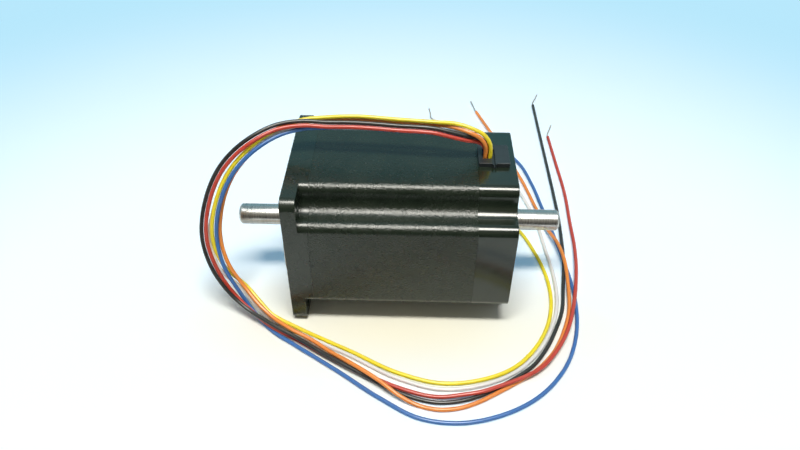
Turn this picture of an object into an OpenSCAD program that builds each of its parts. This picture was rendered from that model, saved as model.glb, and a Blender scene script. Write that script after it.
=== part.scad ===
// Square hybrid stepper motor with a double-ended shaft and six free leads.
// The shaft lies along X: the mounting face is at x = 0, the front shaft points to -X
// and the leads leave the rear end bell upwards.

/* [Frame] */
// Side of the square frame and flange
frame_w = 86; // [84:0.5:92]
// Leg of the L-shaped notch along each corner of the body
notch_leg = 14.7; // [13:0.1:15.5]
// Rounding of the long outer edges beside the notches
notch_edge_r = 3.2; // [1:0.1:4]
// Fillet in the root of each notch
notch_root_r = 4.5; // [2:0.1:5.5]

/* [Front end bell] */
// Length of the front bell with its flange
front_bell_len = 13; // [12.5:0.1:18]
// Thickness of the flange
flange_t = 8.1; // [5:0.1:10]
// Rounding of the flange corners
flange_corner_r = 5.6; // [2:0.1:7]
// Diameter of the pilot boss on the mounting face
pilot_d = 73; // [60:0.5:80]
// Height of the pilot boss
pilot_h = 2; // [1:0.1:4]
// Spacing of the mounting holes along each side
mount_pitch = 69.6; // [68.6:0.1:71]
// Diameter of the mounting holes
mount_hole_d = 6.5; // [4.5:0.1:7]
// Wall in front of the front bearing
front_wall = 1.2; // [0.8:0.1:1.6]
// Floor of the front bell under the coil heads
front_floor_t = 5; // [4:0.1:5.4]

/* [Rear end bell] */
// Length of the rear bell
rear_bell_len = 20.6; // [20:0.1:26]
// Wall behind the rear bearing
rear_wall = 3; // [2:0.1:3.4]
// Thickness of the ribs between hub and screw bosses
bell_rib_t = 3; // [2:0.1:5]
// Wall of the bearing hubs
hub_wall = 3; // [2:0.1:4]
// Hole for the shaft in both bells
shaft_hole_d = 16; // [15.8:0.1:20]
// Depth of the thin relief around each bell at its joint
joint_relief = 0.2; // [0.1:0.05:0.6]

/* [Stator] */
// Length of the lamination stack
stack_len = 87.6; // [60:0.1:120]
// Depth of the stator from its bore to the flat sides of the frame
stator_depth = 17.9; // [17.4:0.1:18.3]
// Back iron left outside the winding slots
back_iron = 5.5; // [5:0.1:6]
// Width of the eight poles
pole_w = 9; // [8:0.1:9.6]
// Thickness of the toothed pole shoes
shoe_t = 3.1; // [2.6:0.1:3.6]
// Depth of the teeth on rotor and poles
tooth_depth = 1.1; // [0.6:0.1:1.6]
// Width of the gap between two teeth
tooth_gap_w = 1.7; // [1.4:0.05:1.9]
// Opening of the winding slots
slot_mouth_w = 2.4; // [1.6:0.1:2.6]

/* [Windings] */
// Gap between two coils at the bore
coil_spacing = 2.34; // [1.6:0.02:3.4]
// Space left between the coils and the root of their slots
coil_root_gap = 4.2; // [4:0.1:5]
// Slot liner between pole and coil
liner_t = 0.8; // [0.4:0.1:1]
// Thickness of the end insulators
insulator_t = 1.2; // [0.8:0.1:1.6]

/* [Rotor] */
// Air gap between rotor and poles
air_gap = 0.1; // [0.06:0.02:0.3]
// Thickness of the ring magnets
magnet_t = 2.4; // [1.5:0.1:4]
// Thickness of the spacers between the rotor sections
spacer_t = 1.2; // [0.8:0.1:3]
// Diameter of the shaft inside the rotor
shaft_core_d = 17; // [16:0.1:20]

/* [Shaft] */
// Diameter of both shaft ends
shaft_d = 12; // [8:0.1:14]
// Diameter of the journals in the bearings
journal_d = 15; // [14.2:0.1:15.4]
// Front shaft beyond the mounting face
front_shaft_len = 32.7; // [20:0.1:60]
// Rear shaft beyond the rear bell
rear_shaft_len = 29.8; // [15:0.1:60]
// Chamfer on the shaft ends
shaft_chamfer = 1.2; // [0.4:0.1:2]

/* [Bearings] */
// Outer diameter of the ball bearings
bearing_d = 35; // [34:0.1:36]
// Width of the ball bearings
bearing_w = 11; // [10:0.1:11.4]
// Thickness of the races behind the balls
race_wall = 2.025; // [1.9:0.025:2.4]
// Clearance of balls in races and cage
ball_gap = 0.05; // [0.02:0.01:0.08]
// Thickness of the wave washer
wave_t = 1; // [0.6:0.1:1.4]

/* [Tie screws] */
// Diameter of the tie screws
screw_d = 4; // [3:0.1:4.4]
// Diameter of the screw heads
screw_head_d = 7; // [6:0.1:7.6]
// Height of the screw heads
screw_head_h = 4; // [3:0.1:5]
// Thread length in the front bell
screw_grip = 9; // [6:0.1:10]
// Thickness of the spring washers
washer_t = 0.9; // [0.6:0.1:1.2]
// Wall of the rear bell under the screw heads
head_wall = 1; // [0.8:0.1:2]

/* [Lead grommet] */
// Length of the grommet along the shaft
grommet_len = 16.6; // [15:0.1:17]
// Width of the grommet across the shaft
grommet_w = 17.6; // [16:0.1:22]
// Height of the grommet above the bell
grommet_rise = 2.5; // [1.5:0.1:4]
// Length of the slot that the leads come out of
grommet_slot_len = 6.6; // [6.4:0.1:9]
// Width of the slot that the leads come out of
grommet_slot_w = 9; // [7.6:0.1:11]

/* [Leads] */
// Outer diameter of the insulated leads
lead_d = 2.2; // [1.6:0.1:2.3]
// Diameter of the bare strands at the ends
strand_d = 1.2; // [0.6:0.1:1.4]
// Length of the bare strands
strand_len = 18; // [8:0.5:24]

/* [Hidden] */
$fn = 96;

// Overrun of every cut past the face that it leaves
cut = 1;
// Clearance between parts that are laid beside each other
fit_gap = 0.1;

// Places along the shaft
stack_x0 = front_bell_len;
stack_x1 = front_bell_len + stack_len;
body_len = stack_x1 + rear_bell_len;
stack_mid = (stack_x0 + stack_x1) / 2;
front_floor_x = front_floor_t;
front_bearing_x = front_wall;
rear_bearing_x = body_len - rear_wall - wave_t - bearing_w;

// Outline of the body
half_w = frame_w / 2;
notch_in = half_w - notch_leg;

// Tie screws on each diagonal, their counterbores a named wall inside the notch root
notch_wall = 1;
boss_wall = 1.5;
screw_play = 0.2;
thread_play = 0.03;
tie_hole_r = screw_d / 2 + screw_play;
counterbore_r = screw_head_d / 2 + screw_play;
counterbore_depth = screw_head_h + washer_t + screw_play;
root_surface = (notch_in + notch_root_r) * sqrt(2) - notch_root_r;
tie_r = root_surface - notch_wall - counterbore_r;
tie_at = tie_r / sqrt(2);
tie_boss_r = tie_hole_r + boss_wall;
rear_floor_x = body_len - counterbore_depth - head_wall;
hex_socket_d = screw_head_d / 2;
hex_socket_depth = screw_head_h / 2;
head_x0 = body_len - counterbore_depth + washer_t;

// Stator section
pole_count = 8;
poles_per_phase = pole_count / 2;
pole_pitch = 360 / pole_count;
rotor_teeth = 50;
tooth_pitch = 360 / rotor_teeth;
teeth_per_pole = 6;
bore_r = half_w - stator_depth;
rotor_r = bore_r - air_gap;
shoe_r = bore_r + shoe_t;
slot_root_r = half_w - back_iron;
cavity_r = slot_root_r;

// Coils and insulators
coil_gap = 0.2;
coil_r0 = shoe_r + coil_gap;
coil_r1 = min(tie_r - tie_boss_r - coil_gap, slot_root_r - coil_root_gap);
coil_half_in = pole_w / 2 + liner_t;
coil_half_out = (coil_r0 * sin(pole_pitch / 2) - coil_spacing / 2) / cos(pole_pitch / 2);
coil_t = coil_half_out - coil_half_in;
coil_x0 = stack_x0 - insulator_t;
coil_x1 = stack_x1 + insulator_t;
insulator_r = cavity_r - coil_gap;
rim_r = sqrt(pow(coil_r1, 2) + pow(coil_half_out, 2)) + coil_gap;
collar_r = bore_r + tooth_depth;
collar_t = shoe_t - tooth_depth - coil_gap;
tab_share = 0.6;
tab_angle = pole_pitch * tab_share;

// Reach of the journals past both bells
journal_reach = 0.5;

// Rotor sections of two toothed cups with a magnet between them
sections = 3;
rotor_end_gap = 0.6;
cup_t = (stack_len - 2 * rotor_end_gap - sections * magnet_t - (sections - 1) * spacer_t)
    / (2 * sections);
section_len = 2 * cup_t + magnet_t;
rotor_x0 = stack_x0 + rotor_end_gap;
magnet_r = rotor_r - 2 * tooth_depth;
spacer_r = (rotor_r + shaft_core_d / 2) / 2;

// Bearings
ball_count = 8;
pitch_r = (bearing_d + journal_d) / 4;
ball_d = (bearing_d - journal_d) / 2 - 2 * race_wall;
ball_r = ball_d / 2;
land_share = 0.31;
race_land = ball_d * land_share;
inner_land_r = pitch_r - race_land;
outer_land_r = pitch_r + race_land;
cage_t_share = 0.2;
cage_w_share = 1.22;
cage_t = ball_d * cage_t_share;
cage_half_w = ball_r * cage_w_share;
shield_t = 0.4;
shield_inset = 0.5;
shield_play = 0.25;
hub_r = bearing_d / 2 + hub_wall;
wave_share = 0.8;
wave_inner_r = bearing_d / 2 * wave_share;

// Grommet in the window of the rear bell
grommet_setback = 0.6;
grommet_x0 = stack_x1 + grommet_setback;
grommet_mid = grommet_x0 + grommet_len / 2;
grommet_lip = 1.5;
window_x0 = grommet_x0 + grommet_lip;
window_len = rear_floor_x - window_x0;
window_w = grommet_w - 2 * grommet_lip;
grommet_slot_depth = 1.5;
grommet_slot_inset = 2.3;
grommet_slot_x0 = grommet_x0 + grommet_slot_inset;
grommet_slit_w = 0.8;
grommet_rib_r = 1.3;
grommet_edge_r = 0.8;
grommet_foot_t = 1.2;
grommet_foot_z = sqrt(pow(cavity_r, 2) - pow(grommet_w / 2, 2)) - fit_gap;

// Middle of the bundle of leads, from the grommet over the motor to the table: the point, the turn
// of the way round the bend and the tilt of its plane
bundle = [
    [106.2, 0, 44, 0, 0], [106.2, 0, 48, 0, 0], [105, 0, 52.2, 30, 0], [101.6, 0, 56, 58, 5],
    [96, 0, 58.2, 73, 12], [88, 0.5, 59.5, 82, 25], [78, 1, 60.5, 86, 38], [59, 2, 61, 88, 41],
    [34, 3.5, 61.5, 91, 41], [20, 3.5, 61, 94, 41], [8, 3, 60.5, 98, 41], [-4, 0, 58.5, 105, 41],
    [-18, -7, 53, 119, 41], [-31.5, -13, 40.5, 137, 41], [-40.5, -21, 22.5, 162, 41],
    [-43.5, -27, 3.5, 182, 41], [-40, -31.5, -12, 207, 41], [-29.5, -36, -29.5, 230, 41]];
// Place of each lead in the bundle, outwards and away from the near side, at every point of it
yellow_lane = [
    [1.3, -2.5], [1.3, -2.5], [2.1, -2.6], [3, -2.3], [3.4, -1.8], [3.7, -1], [3, 0], [3, 0], [3, 0],
    [2.6, 0], [1.8, 0], [0.6, 0], [-0.4, 0], [-1, 0], [-1, 0], [-1, 0.4], [-1.3, 2.2], [-4.4, 3.2]];
white_lane = [
    [1.3, 2.5], [1.3, 2.5], [0.5, 2.6], [-0.6, 2.1], [-1.3, 1.8], [-1.2, 2.2], [-0.5, 2.4], [-0.5, 2.4],
    [-0.5, 2.4], [-0.5, 2.4], [-0.5, 2.4], [-0.4, 2.4], [-0.3, 2.4], [-0.2, 2.4], [-0.2, 2.4],
    [1.1, 2.2], [1.4, 1.4], [-1.4, 3]];
orange_lane = [
    [-1.3, -2.5], [-1.3, -2.5], [-0.5, -2.7], [0.4, -2.7], [1.1, -2.4], [1.4, 0], [1.9, 2.4],
    [1.9, 2.4], [1.9, 2.4], [1.7, 3.2], [1, 4.6], [-0.4, 4.8], [-1.8, 4.6], [-3, 3.8], [-4.2, 3],
    [-4.9, 2.2], [-4.6, 0.6], [-4, -0.4]];
black_lane = [
    [1.3, 0], [1.3, 0], [0.5, -0.1], [-0.6, -0.3], [-1.3, -1.2], [-1.1, -1.9], [-0.6, -2.4],
    [-0.6, -2.4], [-0.6, -2.4], [-0.3, -2.4], [0.8, -2.4], [2.2, -2.4], [3.2, -2.4], [4, -2.4],
    [4, -2.4], [4, -2.4], [4, -2.4], [4, -2.4]];
red_lane = [
    [-1.3, 0], [-1.3, 0], [-2, 0.1], [-3.1, -0.4], [-3.7, -1.2], [-3.5, -1.9], [-3, -2.4], [-3, -2.4],
    [-3, -2.4], [-2.7, -2.4], [-1.6, -2.4], [-0.2, -2.4], [0.8, -2.4], [1.6, -2.4], [1.6, -2.4],
    [1.6, -2.2], [2, -1.1], [3.2, 0.2]];
blue_lane = [
    [-1.3, 2.5], [-1.3, 2.5], [-2, 2.7], [-3, 2.1], [-3.7, 1.4], [-3.3, 0.7], [-2.8, 0], [-2.8, 0],
    [-2.8, 0], [-2.8, 0], [-3, 0], [-3, 0], [-3.2, 0], [-3.4, 0], [-3.4, 0], [-3.4, 0], [-2.2, -0.8],
    [0.6, 1]];
// Points of each lead along the table, from the bundle to its stripped end
yellow_points = [
    [-19.5, -37, -34.3], [-13, -42, -38.5], [2, -49.3, -41.4], [20, -58.3, -41.8], [34, -65.3, -41.8],
    [62, -79.7, -41.8], [83, -85.2, -41.8], [104, -82.8, -41.8], [123, -74.2, -41.8],
    [137.5, -58.6, -41.8], [144.8, -45, -41.8], [149, -31, -41.8], [150.3, -10, -41.8],
    [148.5, 4, -41.8], [145, 18, -41.8], [138, 37, -41.8], [124, 55, -41.8], [104, 68, -41.8],
    [76, 77, -41.8], [44, 79, -41.8], [14, 72, -41.8]];
white_points = [
    [-21.5, -39, -35.8], [-12.5, -45.5, -39.3], [2, -52.3, -41.6], [20, -61.3, -41.8],
    [34, -68.3, -41.8], [62, -83.3, -41.8], [83, -89, -41.8], [104, -86.3, -41.8], [123, -77.4, -41.8],
    [139.8, -60, -41.8], [147.1, -46, -41.8], [152, -32, -41.8], [154.5, -10, -41.8], [154, 4, -41.8],
    [152.7, 18, -41.8], [150, 46, -41.8], [142, 80, -41.8], [130, 110, -41.8], [113, 141, -40.6],
    [104, 151, -39.2], [94, 161, -40.6], [83, 172, -41.8]];
orange_points = [
    [-19.5, -41, -31.8], [-12, -46.5, -35.5], [2, -55.7, -37], [13, -61, -38.6], [24, -68.4, -39.2],
    [35.4, -77, -37], [51.8, -88.4, -37], [62.4, -95.6, -39.4], [71, -99, -41.8], [82, -101.5, -41.8],
    [92, -100.5, -41.8], [103, -96.3, -41.8], [112, -91, -41.8], [123, -84, -41.8], [136, -74.5, -41.8],
    [146, -63, -41.8], [154.3, -47, -41.8], [159, -33.5, -41.8], [161.5, -12, -39.2], [161.7, 6, -36.8],
    [160, 20, -36.7], [156, 37, -39.5], [151.5, 62, -41.5], [146, 90, -41.6], [142, 105, -41.2],
    [138, 119, -39.8], [133.5, 134, -39.1], [129, 149, -40.6], [118, 185, -41.8]];
black_points = [
    [-24, -44, -34.8], [-16.5, -48.5, -36], [-8.5, -53, -37], [2, -58.2, -38.4], [18, -68, -39.3],
    [33, -77, -39.4], [46, -84, -40.5], [60, -91.2, -41.6], [83, -97.3, -41.8], [102, -93.3, -41.8],
    [112, -88, -41.8], [123, -81, -41.8], [134.5, -71.5, -41.8], [141.9, -61.4, -41.8],
    [149.4, -47, -41.8], [155, -33, -41.8], [159, -12, -41.5], [161.3, 3, -39.5], [162.7, 16, -39.2],
    [164.3, 32, -40.8], [165.5, 50, -41.6], [166, 80, -41.8], [166, 110, -41.8], [166, 155, -41.8],
    [166, 197, -41.8]];
red_points = [
    [-24, -42, -36.8], [-17, -47.2, -38.6], [-9, -52.6, -39.5], [2, -57.6, -41.3], [20, -67.6, -41.8],
    [35, -75, -41.8], [51, -84.2, -41.8], [62, -89, -41.8], [83, -94, -41.6], [95, -93.2, -40.2],
    [103.6, -92, -39.3], [114, -88, -39.3], [125, -83, -39.3], [136, -76.5, -39.3], [149, -61, -39.3],
    [155.5, -49, -39.3], [161, -33.5, -39.3], [166.5, -11, -39.3], [169.3, 5, -39.5],
    [171.5, 24, -40.8], [172.5, 45, -41.6], [174, 80, -41.8], [173, 115, -41.8],
    [172, 150, -41.8]];
blue_points = [
    [-24.5, -39, -38.2], [-18, -45.5, -41.3], [-9.3, -53.5, -41.8], [2, -61.2, -41.8],
    [16, -70.5, -41.8], [30, -80, -41.8], [52, -95.5, -41.8], [73, -107, -41.8], [93, -109, -41.8],
    [113, -104.3, -41.8], [135, -91.7, -41.8], [151, -73, -41.8], [161.5, -46.5, -41.8],
    [163.9, -31, -41.8], [164.2, -8, -41.8], [163.2, 5, -41.8], [161.7, 18, -41.8], [159.6, 36, -41.8],
    [156, 62, -41.8], [152, 89, -41.8], [145, 115, -41.8], [128, 138, -41.8], [103, 153, -41.8]];
lead_ring_step = 9;
lead_sides = 8;

// Straight root of the bare strands, and the turn of each colour's strands past it
strand_root = 2;
yellow_turn = 15;
white_turn = -37;
orange_turn = -6;
black_turn = -20;
red_turn = -20;
blue_turn = 20;

// Turns a shape drawn along +Z so that it runs along +X from x
module along_x(x) {
    translate([x, 0, 0]) rotate([0, 90, 0]) children();
}

// Extrudes an outline along the shaft from x0 to x1
module run_x(x0, x1) {
    along_x(x0) linear_extrude(x1 - x0) children();
}

// Places children on the four corners of a square pattern
module at_corners(pitch) {
    for (y = [-pitch / 2, pitch / 2], z = [-pitch / 2, pitch / 2]) translate([0, y, z]) children();
}

// A bore or pin along the shaft, at the four corners of a square pattern
module corner_rods(pitch, r, x0, x1) {
    at_corners(pitch) along_x(x0) cylinder(r = r, h = x1 - x0);
}

// Cut for one corner of the body: the notch with its rounded root and rounded outer edges
module corner_cut(leg, edge_r, root_r) {
    inner = half_w - leg;
    reach = leg + cut;
    translate([inner + root_r, inner]) square([reach - root_r, reach]);
    translate([inner, inner + root_r]) square([reach, reach - root_r]);
    translate([inner + root_r, inner + root_r]) circle(root_r);
    for (side = [0, 1]) mirror([side, -side]) difference() {
        translate([half_w - edge_r, inner - edge_r]) square([edge_r + cut, edge_r + cut]);
        translate([half_w - edge_r, inner - edge_r]) circle(edge_r);
    }
}

// Section of the body with its four corner notches, drawn in by inset
module body_outline(inset = 0) {
    difference() {
        square(frame_w - 2 * inset, center = true);
        for (sy = [0, 1], sz = [0, 1]) mirror([sy, 0]) mirror([0, sz])
            corner_cut(notch_leg + inset, notch_edge_r, notch_root_r);
    }
}

// Square with rounded corners
module rounded_square(w, h, r) {
    square([w - 2 * r, h], center = true);
    square([w, h - 2 * r], center = true);
    for (sx = [-1, 1], sy = [-1, 1]) translate([sx * (w / 2 - r), sy * (h / 2 - r)]) circle(r);
}

// Round cavity of the end bells, left solid round the tie screws
module cavity_outline(r, boss_r) {
    difference() {
        circle(r);
        for (sy = [-1, 1], sz = [-1, 1]) translate([sy * tie_at, sz * tie_at]) circle(boss_r);
    }
}

module front_end_bell() {
    color([0.13, 0.15, 0.15]) difference() {
        union() {
            run_x(0, flange_t) rounded_square(frame_w, frame_w, flange_corner_r);
            run_x(0, stack_x0 - joint_relief) body_outline();
            run_x(0, stack_x0) body_outline(joint_relief);
            along_x(-pilot_h) cylinder(d = pilot_d, h = pilot_h + cut);
        }
        difference() {
            run_x(front_floor_x, stack_x0 + cut) cavity_outline(cavity_r, tie_boss_r);
            along_x(0) cylinder(r = hub_r, h = front_bearing_x + bearing_w);
        }
        along_x(front_bearing_x) cylinder(d = bearing_d, h = stack_x0);
        along_x(-pilot_h - cut) cylinder(d = shaft_hole_d, h = pilot_h + front_wall + 2 * cut);
        corner_rods(mount_pitch, mount_hole_d / 2, -cut, flange_t + cut);
        corner_rods(2 * tie_at, screw_d / 2 + thread_play, stack_x0 - screw_grip, stack_x0 + cut);
    }
}

module rear_end_bell() {
    color([0.10, 0.12, 0.12]) difference() {
        union() {
            run_x(stack_x1, body_len) body_outline(joint_relief);
            run_x(stack_x1 + joint_relief, body_len) body_outline();
        }
        difference() {
            run_x(stack_x1 - cut, rear_floor_x) cavity_outline(cavity_r, tie_boss_r);
            along_x(rear_bearing_x) cylinder(r = hub_r, h = rear_wall + bearing_w);
            for (a = [45 : 90 : 315]) rotate([a, 0, 0])
                translate([rear_bearing_x + bearing_w / 2, -bell_rib_t / 2, hub_r - cut])
                    cube([bearing_w, bell_rib_t, tie_r - hub_r]);
        }
        along_x(rear_bearing_x - cut) cylinder(d = bearing_d, h = bearing_w + wave_t + cut);
        along_x(rear_bearing_x) cylinder(d = shaft_hole_d, h = body_len);
        corner_rods(2 * tie_at, tie_hole_r, stack_x1 - cut, body_len);
        corner_rods(2 * tie_at, counterbore_r, body_len - counterbore_depth, body_len + cut);
        translate([window_x0, -window_w / 2, hub_r + cut])
            cube([window_len, window_w, half_w]);
    }
}

// Section of the laminations: eight poles, each with a shoe of six teeth
module stator_section() {
    difference() {
        body_outline();
        circle(bore_r);
        difference() {
            circle(slot_root_r);
            circle(shoe_r);
            for (k = [0 : pole_count - 1]) rotate(k * pole_pitch)
                translate([0, -pole_w / 2]) square([half_w, pole_w]);
        }
        for (k = [0 : pole_count - 1]) {
            rotate((k + 1 / 2) * pole_pitch)
                translate([rotor_r - tooth_depth, -slot_mouth_w / 2])
                    square([shoe_t + 2 * tooth_depth, slot_mouth_w]);
            for (j = [1 : teeth_per_pole - 1])
                rotate(k * pole_pitch + (j - teeth_per_pole / 2) * tooth_pitch)
                    translate([bore_r - tooth_depth, -tooth_gap_w / 2])
                        square([2 * tooth_depth, tooth_gap_w]);
        }
        for (sy = [-1, 1], sz = [-1, 1]) translate([sy * tie_at, sz * tie_at]) circle(tie_hole_r);
    }
}

module stator_stack() {
    color([0.16, 0.17, 0.16]) run_x(stack_x0, stack_x1) stator_section();
}

// Flat of an end insulator: rim and collar, joined by an arm over each pole
module insulator_section() {
    difference() {
        union() {
            difference() {
                circle(insulator_r);
                circle(rim_r);
            }
            difference() {
                circle(collar_r + collar_t);
                circle(collar_r);
            }
            for (k = [0 : pole_count - 1]) rotate(k * pole_pitch)
                translate([collar_r + collar_t / 2, -pole_w / 2])
                    square([(rim_r + insulator_r) / 2 - collar_r - collar_t / 2, pole_w]);
        }
        for (sy = [-1, 1], sz = [-1, 1]) translate([sy * tie_at, sz * tie_at])
            circle(tie_boss_r + coil_gap);
    }
}

// Plastic end insulator with a tab on each pole that holds the coil off the rotor
module end_insulator(x, dir) {
    run_x(min(x, x + dir * insulator_t), max(x, x + dir * insulator_t)) insulator_section();
    tab_x0 = x + dir * insulator_t / 2;
    tab_x1 = x + dir * (insulator_t + coil_t);
    for (k = [0 : pole_count - 1]) rotate([k * pole_pitch - tab_angle / 2, 0, 0])
        along_x(min(tab_x0, tab_x1)) rotate_extrude(angle = tab_angle)
            translate([collar_r + fit_gap, 0])
                square([collar_t - 2 * fit_gap, insulator_t / 2 + coil_t]);
}

module front_insulator() {
    color([0.85, 0.84, 0.78]) end_insulator(stack_x0, -1);
}

module rear_insulator() {
    color([0.85, 0.84, 0.78]) end_insulator(stack_x1, 1);
}

// One coil wound round the pole at the top of the bore
module coil() {
    translate([stack_mid, 0, coil_r0]) linear_extrude(coil_r1 - coil_r0) difference() {
        rounded_square(coil_x1 - coil_x0 + 2 * coil_t, 2 * coil_half_out, coil_t);
        square([coil_x1 - coil_x0, 2 * coil_half_in], center = true);
    }
}

module phase_a_coils() {
    color([0.72, 0.36, 0.16])
        for (k = [0 : poles_per_phase - 1]) rotate([2 * k * pole_pitch, 0, 0]) coil();
}

module phase_b_coils() {
    color([0.66, 0.32, 0.14])
        for (k = [0 : poles_per_phase - 1]) rotate([(2 * k + 1) * pole_pitch, 0, 0]) coil();
}

// Grommet: pad, neck in the window of the bell, foot behind its wall and the slot for the leads
module lead_grommet() {
    color([0.09, 0.10, 0.10]) difference() {
        union() {
            translate([grommet_mid, 0, half_w]) linear_extrude(grommet_rise)
                rounded_square(grommet_len, grommet_w, grommet_edge_r);
            translate([window_x0 + fit_gap, -window_w / 2 + fit_gap, grommet_foot_z - grommet_foot_t])
                cube([window_len - 2 * fit_gap, window_w - 2 * fit_gap,
                    half_w + grommet_rise / 2 - grommet_foot_z + grommet_foot_t]);
            translate([window_x0 + fit_gap, -grommet_w / 2, grommet_foot_z - grommet_foot_t])
                cube([window_len - 2 * fit_gap, grommet_w, grommet_foot_t]);
            translate([grommet_mid, -grommet_w / 2, half_w])
                cylinder(r = grommet_rib_r, h = grommet_rise);
        }
        translate([grommet_slot_x0, -grommet_slot_w / 2, half_w + grommet_rise - grommet_slot_depth])
            cube([grommet_slot_len, grommet_slot_w, grommet_rise]);
        translate([grommet_mid - grommet_slit_w / 2, -grommet_w / 2 - grommet_rib_r - cut,
            half_w + grommet_rise - grommet_slot_depth])
            cube([grommet_slit_w, grommet_w / 2 + grommet_rib_r + cut, grommet_rise]);
    }
}

// Socket-head screws from the rear bell through the stack into the front bell
module tie_screws() {
    color([0.20, 0.20, 0.21]) at_corners(2 * tie_at) difference() {
        union() {
            along_x(stack_x0 - screw_grip) cylinder(d = screw_d, h = head_x0 - stack_x0 + screw_grip);
            along_x(head_x0) cylinder(d = screw_head_d, h = screw_head_h);
        }
        along_x(head_x0 + screw_head_h - hex_socket_depth)
            cylinder(d = hex_socket_d, h = screw_head_h, $fn = 6);
    }
}

module tie_washers() {
    color([0.45, 0.45, 0.46]) at_corners(2 * tie_at) along_x(head_x0 - washer_t) difference() {
        cylinder(d = screw_head_d, h = washer_t);
        translate([0, 0, -cut]) cylinder(r = tie_hole_r, h = washer_t + 2 * cut);
    }
}

// Stepped shaft: chamfered ends, a journal in each bearing and a thicker core in the rotor
module shaft() {
    x0 = -front_shaft_len;
    x1 = -pilot_h - journal_reach;
    x2 = front_bearing_x + bearing_w;
    x3 = rear_bearing_x;
    x4 = body_len + journal_reach;
    x5 = body_len + rear_shaft_len;
    r0 = shaft_d / 2;
    r1 = journal_d / 2;
    r2 = shaft_core_d / 2;
    color([0.70, 0.70, 0.68]) along_x(0) rotate_extrude() polygon([
        [0, x0], [r0 - shaft_chamfer, x0], [r0, x0 + shaft_chamfer], [r0, x1], [r1, x1], [r1, x2],
        [r2, x2], [r2, x3], [r1, x3], [r1, x4], [r0, x4], [r0, x5 - shaft_chamfer],
        [r0 - shaft_chamfer, x5], [0, x5]]);
}

// Section of a rotor cup: fifty teeth round the shaft bore
module cup_section() {
    difference() {
        circle(rotor_r);
        circle(shaft_core_d / 2);
        for (k = [0 : rotor_teeth - 1]) rotate(k * tooth_pitch)
            translate([rotor_r - tooth_depth, -tooth_gap_w / 2]) square([2 * tooth_depth, tooth_gap_w]);
    }
}

function section_x(k) = rotor_x0 + k * (section_len + spacer_t);

module north_rotor_cups() {
    color([0.42, 0.43, 0.44]) for (k = [0 : sections - 1])
        run_x(section_x(k), section_x(k) + cup_t) cup_section();
}

module south_rotor_cups() {
    color([0.36, 0.37, 0.38]) for (k = [0 : sections - 1])
        run_x(section_x(k) + cup_t + magnet_t, section_x(k) + section_len)
            rotate(tooth_pitch / 2) cup_section();
}

// A flat ring along the shaft
module ring(x, t, r_out, r_in) {
    along_x(x) difference() {
        cylinder(r = r_out, h = t);
        translate([0, 0, -cut]) cylinder(r = r_in, h = t + 2 * cut);
    }
}

module rotor_magnets() {
    color([0.25, 0.25, 0.27]) for (k = [0 : sections - 1])
        ring(section_x(k) + cup_t, magnet_t, magnet_r, shaft_core_d / 2);
}

module rotor_spacers() {
    color([0.75, 0.68, 0.42]) for (k = [0 : sections - 2])
        ring(section_x(k) + section_len, spacer_t, spacer_r, shaft_core_d / 2);
}

// Section of a race between two radii, with the groove for the balls
module race(x, r_in, r_out) {
    along_x(x) rotate_extrude() difference() {
        translate([r_in, 0]) square([r_out - r_in, bearing_w]);
        translate([pitch_r, bearing_w / 2]) circle(ball_r + ball_gap);
    }
}

module outer_race(x) {
    color([0.66, 0.67, 0.68]) race(x, outer_land_r, bearing_d / 2);
}

module inner_race(x) {
    color([0.72, 0.73, 0.74]) race(x, journal_d / 2, inner_land_r);
}

module ball_ring(x) {
    color([0.80, 0.81, 0.82]) translate([x + bearing_w / 2, 0, 0])
        for (k = [0 : ball_count - 1]) rotate([k * 360 / ball_count, 0, 0])
            translate([0, 0, pitch_r]) sphere(ball_r);
}

module ball_cage(x) {
    color([0.60, 0.58, 0.50]) difference() {
        ring(x + bearing_w / 2 - cage_half_w, 2 * cage_half_w, pitch_r + cage_t / 2,
            pitch_r - cage_t / 2);
        translate([x + bearing_w / 2, 0, 0])
            for (k = [0 : ball_count - 1]) rotate([k * 360 / ball_count, 0, 0])
                translate([0, 0, pitch_r - cage_t]) cylinder(r = ball_r + ball_gap, h = 2 * cage_t);
    }
}

module bearing_shields(x) {
    color([0.58, 0.59, 0.60]) for (side = [shield_inset, bearing_w - shield_inset - shield_t])
        ring(x + side, shield_t, outer_land_r, inner_land_r + shield_play);
}

module front_bearing_outer_race() {
    outer_race(front_bearing_x);
}

module front_bearing_inner_race() {
    inner_race(front_bearing_x);
}

module front_bearing_balls() {
    ball_ring(front_bearing_x);
}

module front_bearing_cage() {
    ball_cage(front_bearing_x);
}

module front_bearing_shields() {
    bearing_shields(front_bearing_x);
}

module rear_bearing_outer_race() {
    outer_race(rear_bearing_x);
}

module rear_bearing_inner_race() {
    inner_race(rear_bearing_x);
}

module rear_bearing_balls() {
    ball_ring(rear_bearing_x);
}

module rear_bearing_cage() {
    ball_cage(rear_bearing_x);
}

module rear_bearing_shields() {
    bearing_shields(rear_bearing_x);
}

module wave_washer() {
    color([0.62, 0.62, 0.60]) ring(rear_bearing_x + bearing_w, wave_t, bearing_d / 2, wave_inner_r);
}

// Point of a lane at point i of the bundle
function bundled(i, lane) = [
    bundle[i][0] + lane[0] * cos(bundle[i][3]),
    bundle[i][1] + lane[0] * sin(bundle[i][3]) * sin(bundle[i][4]) + lane[1] * cos(bundle[i][4]),
    bundle[i][2] + lane[0] * sin(bundle[i][3]) * cos(bundle[i][4]) - lane[1] * sin(bundle[i][4])];
// Whole route of a lead: its lane through the bundle, then its points along the table
function route_of(lanes, points) =
    concat([for (i = [0 : len(bundle) - 1]) bundled(i, lanes[i])], points);

function unit(v) = v / norm(v);
function chord(route, i) = norm(route[i + 1] - route[i]);
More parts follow.
